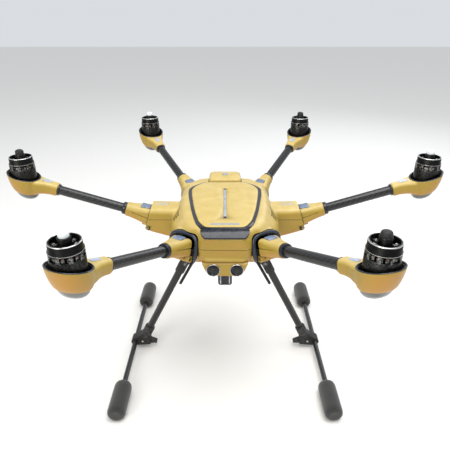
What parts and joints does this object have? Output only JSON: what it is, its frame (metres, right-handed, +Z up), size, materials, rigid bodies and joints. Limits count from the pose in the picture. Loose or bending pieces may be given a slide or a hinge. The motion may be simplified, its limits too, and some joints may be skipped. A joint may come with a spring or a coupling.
{
  "type": "hexacopter drone",
  "caption": "Folding camera drone with arms rising from a shield-shaped hull to motor pods, sonar nose, rear slide-in battery and retracting skid legs.",
  "frame": {"origin": "on the ground, under the centre of the motor circle", "axes": "+Z up, the nose and its two sonar discs face -Y, +X towards the right-hand middle arm"},
  "size_m": [0.5166, 0.4528, 0.3173],
  "materials": {
    "shell_film": "golden film skin with a fine canvas grain",
    "gloss_trim": "glossy black with a blue cast",
    "black_plastic": "matte black moulding",
    "circuit_board": "green circuit board",
    "battery_case": "golden film skin over the pack's case",
    "grey_plastic": "grey-blue moulding",
    "carbon_tube": "glossy carbon twill",
    "motor_metal": "black anodised, bright machined edges",
    "windings": "lacquered windings on a dark core",
    "steel": "ground",
    "foam": "matte black closed-cell foam"
  },
  "bodies": {
    "airframe": {"top_shell": "shell_film", "bottom_shell": "shell_film", "top_panel": "shell_film", "trim_band": "gloss_trim", "nose_housing": "shell_film", "sonar_sensors": "gloss_trim", "gimbal_mount": "black_plastic", "battery_bay": "black_plastic", "main_board": "circuit_board", "pocket_arches": "gloss_trim", "hinge_pins": "steel", "retract_units": "black_plastic"},
    "battery": {"battery_pack": "battery_case"},
    "battery_button": {"battery_button": "grey_plastic"},
    "arm_right": {"arm_root_right": "shell_film", "arm_tube_right": "carbon_tube", "motor_pod_right": "shell_film", "stator_right": "windings"},
    "rotor_right": {"bell_right": "motor_metal"},
    "latch_right": {"release_button_right": "grey_plastic"},
    "arm_rear_right": {"arm_root_rear_right": "shell_film", "arm_tube_rear_right": "carbon_tube", "motor_pod_rear_right": "shell_film", "stator_rear_right": "windings"},
    "rotor_rear_right": {"bell_rear_right": "motor_metal"},
    "latch_rear_right": {"release_button_rear_right": "grey_plastic"},
    "arm_rear_left": {"arm_root_rear_left": "shell_film", "arm_tube_rear_left": "carbon_tube", "motor_pod_rear_left": "shell_film", "stator_rear_left": "windings"},
    "rotor_rear_left": {"bell_rear_left": "motor_metal"},
    "latch_rear_left": {"release_button_rear_left": "grey_plastic"},
    "arm_left": {"arm_root_left": "shell_film", "arm_tube_left": "carbon_tube", "motor_pod_left": "shell_film", "stator_left": "windings"},
    "rotor_left": {"bell_left": "motor_metal"},
    "latch_left": {"release_button_left": "grey_plastic"},
    "arm_front_left": {"arm_root_front_left": "shell_film", "arm_tube_front_left": "carbon_tube", "motor_pod_front_left": "shell_film", "stator_front_left": "windings"},
    "rotor_front_left": {"bell_front_left": "motor_metal"},
    "latch_front_left": {"release_button_front_left": "grey_plastic"},
    "arm_front_right": {"arm_root_front_right": "shell_film", "arm_tube_front_right": "carbon_tube", "motor_pod_front_right": "shell_film", "stator_front_right": "windings"},
    "rotor_front_right": {"bell_front_right": "motor_metal"},
    "latch_front_right": {"release_button_front_right": "grey_plastic"},
    "leg_right": {"leg_strut_right": "carbon_tube", "leg_joints_right": "black_plastic", "skid_tube_right": "carbon_tube", "foam_ends_right": "foam"},
    "antenna_right": {"antenna_right": "black_plastic"},
    "leg_left": {"leg_strut_left": "carbon_tube", "leg_joints_left": "black_plastic", "skid_tube_left": "carbon_tube", "foam_ends_left": "foam"},
    "antenna_left": {"antenna_left": "black_plastic"}
  },
  "joints": [
    {"name": "fold_right", "type": "hinge", "parent": "airframe", "child": "arm_right", "pos_m": [0.09554, 0, 0.21991], "axis": [0, 1, 0], "range_deg": [0, 107]},
    {"name": "spin_right", "type": "hinge", "parent": "arm_right", "child": "rotor_right", "pos_m": [0.24, 0, 0.2855], "axis": [0, 0, 1], "continuous": true},
    {"name": "release_right", "type": "slide", "parent": "arm_right", "child": "latch_right", "axis": [0.2974, 0, -0.9548], "range_m": [0, 0.0022], "stiffness_N_per_m": 400},
    {"name": "fold_rear_right", "type": "hinge", "parent": "airframe", "child": "arm_rear_right", "pos_m": [0.04777, 0.08274, 0.21991], "axis": [-0.866, 0.5, 0], "range_deg": [0, 107]},
    {"name": "spin_rear_right", "type": "hinge", "parent": "arm_rear_right", "child": "rotor_rear_right", "pos_m": [0.12, 0.20785, 0.2855], "axis": [0, 0, 1], "continuous": true},
    {"name": "release_rear_right", "type": "slide", "parent": "arm_rear_right", "child": "latch_rear_right", "axis": [0.1487, 0.2575, -0.9548], "range_m": [0, 0.0022], "stiffness_N_per_m": 400},
    {"name": "fold_rear_left", "type": "hinge", "parent": "airframe", "child": "arm_rear_left", "pos_m": [-0.04777, 0.08274, 0.21991], "axis": [-0.866, -0.5, 0], "range_deg": [0, 107]},
    {"name": "spin_rear_left", "type": "hinge", "parent": "arm_rear_left", "child": "rotor_rear_left", "pos_m": [-0.12, 0.20785, 0.2855], "axis": [0, 0, 1], "continuous": true},
    {"name": "release_rear_left", "type": "slide", "parent": "arm_rear_left", "child": "latch_rear_left", "axis": [-0.1487, 0.2575, -0.9548], "range_m": [0, 0.0022], "stiffness_N_per_m": 400},
    {"name": "fold_left", "type": "hinge", "parent": "airframe", "child": "arm_left", "pos_m": [-0.09554, 0, 0.21991], "axis": [0, -1, 0], "range_deg": [0, 107]},
    {"name": "spin_left", "type": "hinge", "parent": "arm_left", "child": "rotor_left", "pos_m": [-0.24, 0, 0.2855], "axis": [0, 0, 1], "continuous": true},
    {"name": "release_left", "type": "slide", "parent": "arm_left", "child": "latch_left", "axis": [-0.2974, 0, -0.9548], "range_m": [0, 0.0022], "stiffness_N_per_m": 400},
    {"name": "fold_front_left", "type": "hinge", "parent": "airframe", "child": "arm_front_left", "pos_m": [-0.04777, -0.08274, 0.21991], "axis": [0.866, -0.5, 0], "range_deg": [0, 107]},
    {"name": "spin_front_left", "type": "hinge", "parent": "arm_front_left", "child": "rotor_front_left", "pos_m": [-0.12, -0.20785, 0.2855], "axis": [0, 0, 1], "continuous": true},
    {"name": "release_front_left", "type": "slide", "parent": "arm_front_left", "child": "latch_front_left", "axis": [-0.1487, -0.2575, -0.9548], "range_m": [0, 0.0022], "stiffness_N_per_m": 400},
    {"name": "fold_front_right", "type": "hinge", "parent": "airframe", "child": "arm_front_right", "pos_m": [0.04777, -0.08274, 0.21991], "axis": [0.866, 0.5, 0], "range_deg": [0, 107]},
    {"name": "spin_front_right", "type": "hinge", "parent": "arm_front_right", "child": "rotor_front_right", "pos_m": [0.12, -0.20785, 0.2855], "axis": [0, 0, 1], "continuous": true},
    {"name": "release_front_right", "type": "slide", "parent": "arm_front_right", "child": "latch_front_right", "axis": [0.1487, -0.2575, -0.9548], "range_m": [0, 0.0022], "stiffness_N_per_m": 400},
    {"name": "battery_slide", "type": "slide", "parent": "airframe", "child": "battery", "axis": [0, 1, 0], "range_m": [0, 0.13]},
    {"name": "battery_button_press", "type": "slide", "parent": "battery", "child": "battery_button", "axis": [0, 0, -1], "range_m": [0, 0.0008], "stiffness_N_per_m": 600},
    {"name": "leg_retract_right", "type": "hinge", "parent": "airframe", "child": "leg_right", "pos_m": [0.0545, 0.027, 0.1518], "axis": [0, 1, 0], "range_deg": [-62, 0]},
    {"name": "antenna_swing_right", "type": "hinge", "parent": "airframe", "child": "antenna_right", "pos_m": [0.0426, 0.027, 0.1525], "axis": [0, 1, 0], "range_deg": [0, 30]},
    {"name": "leg_retract_left", "type": "hinge", "parent": "airframe", "child": "leg_left", "pos_m": [-0.0545, 0.027, 0.1518], "axis": [0, -1, 0], "range_deg": [-62, 0]},
    {"name": "antenna_swing_left", "type": "hinge", "parent": "airframe", "child": "antenna_left", "pos_m": [-0.0426, 0.027, 0.1525], "axis": [0, -1, 0], "range_deg": [0, 30]}
  ]
}
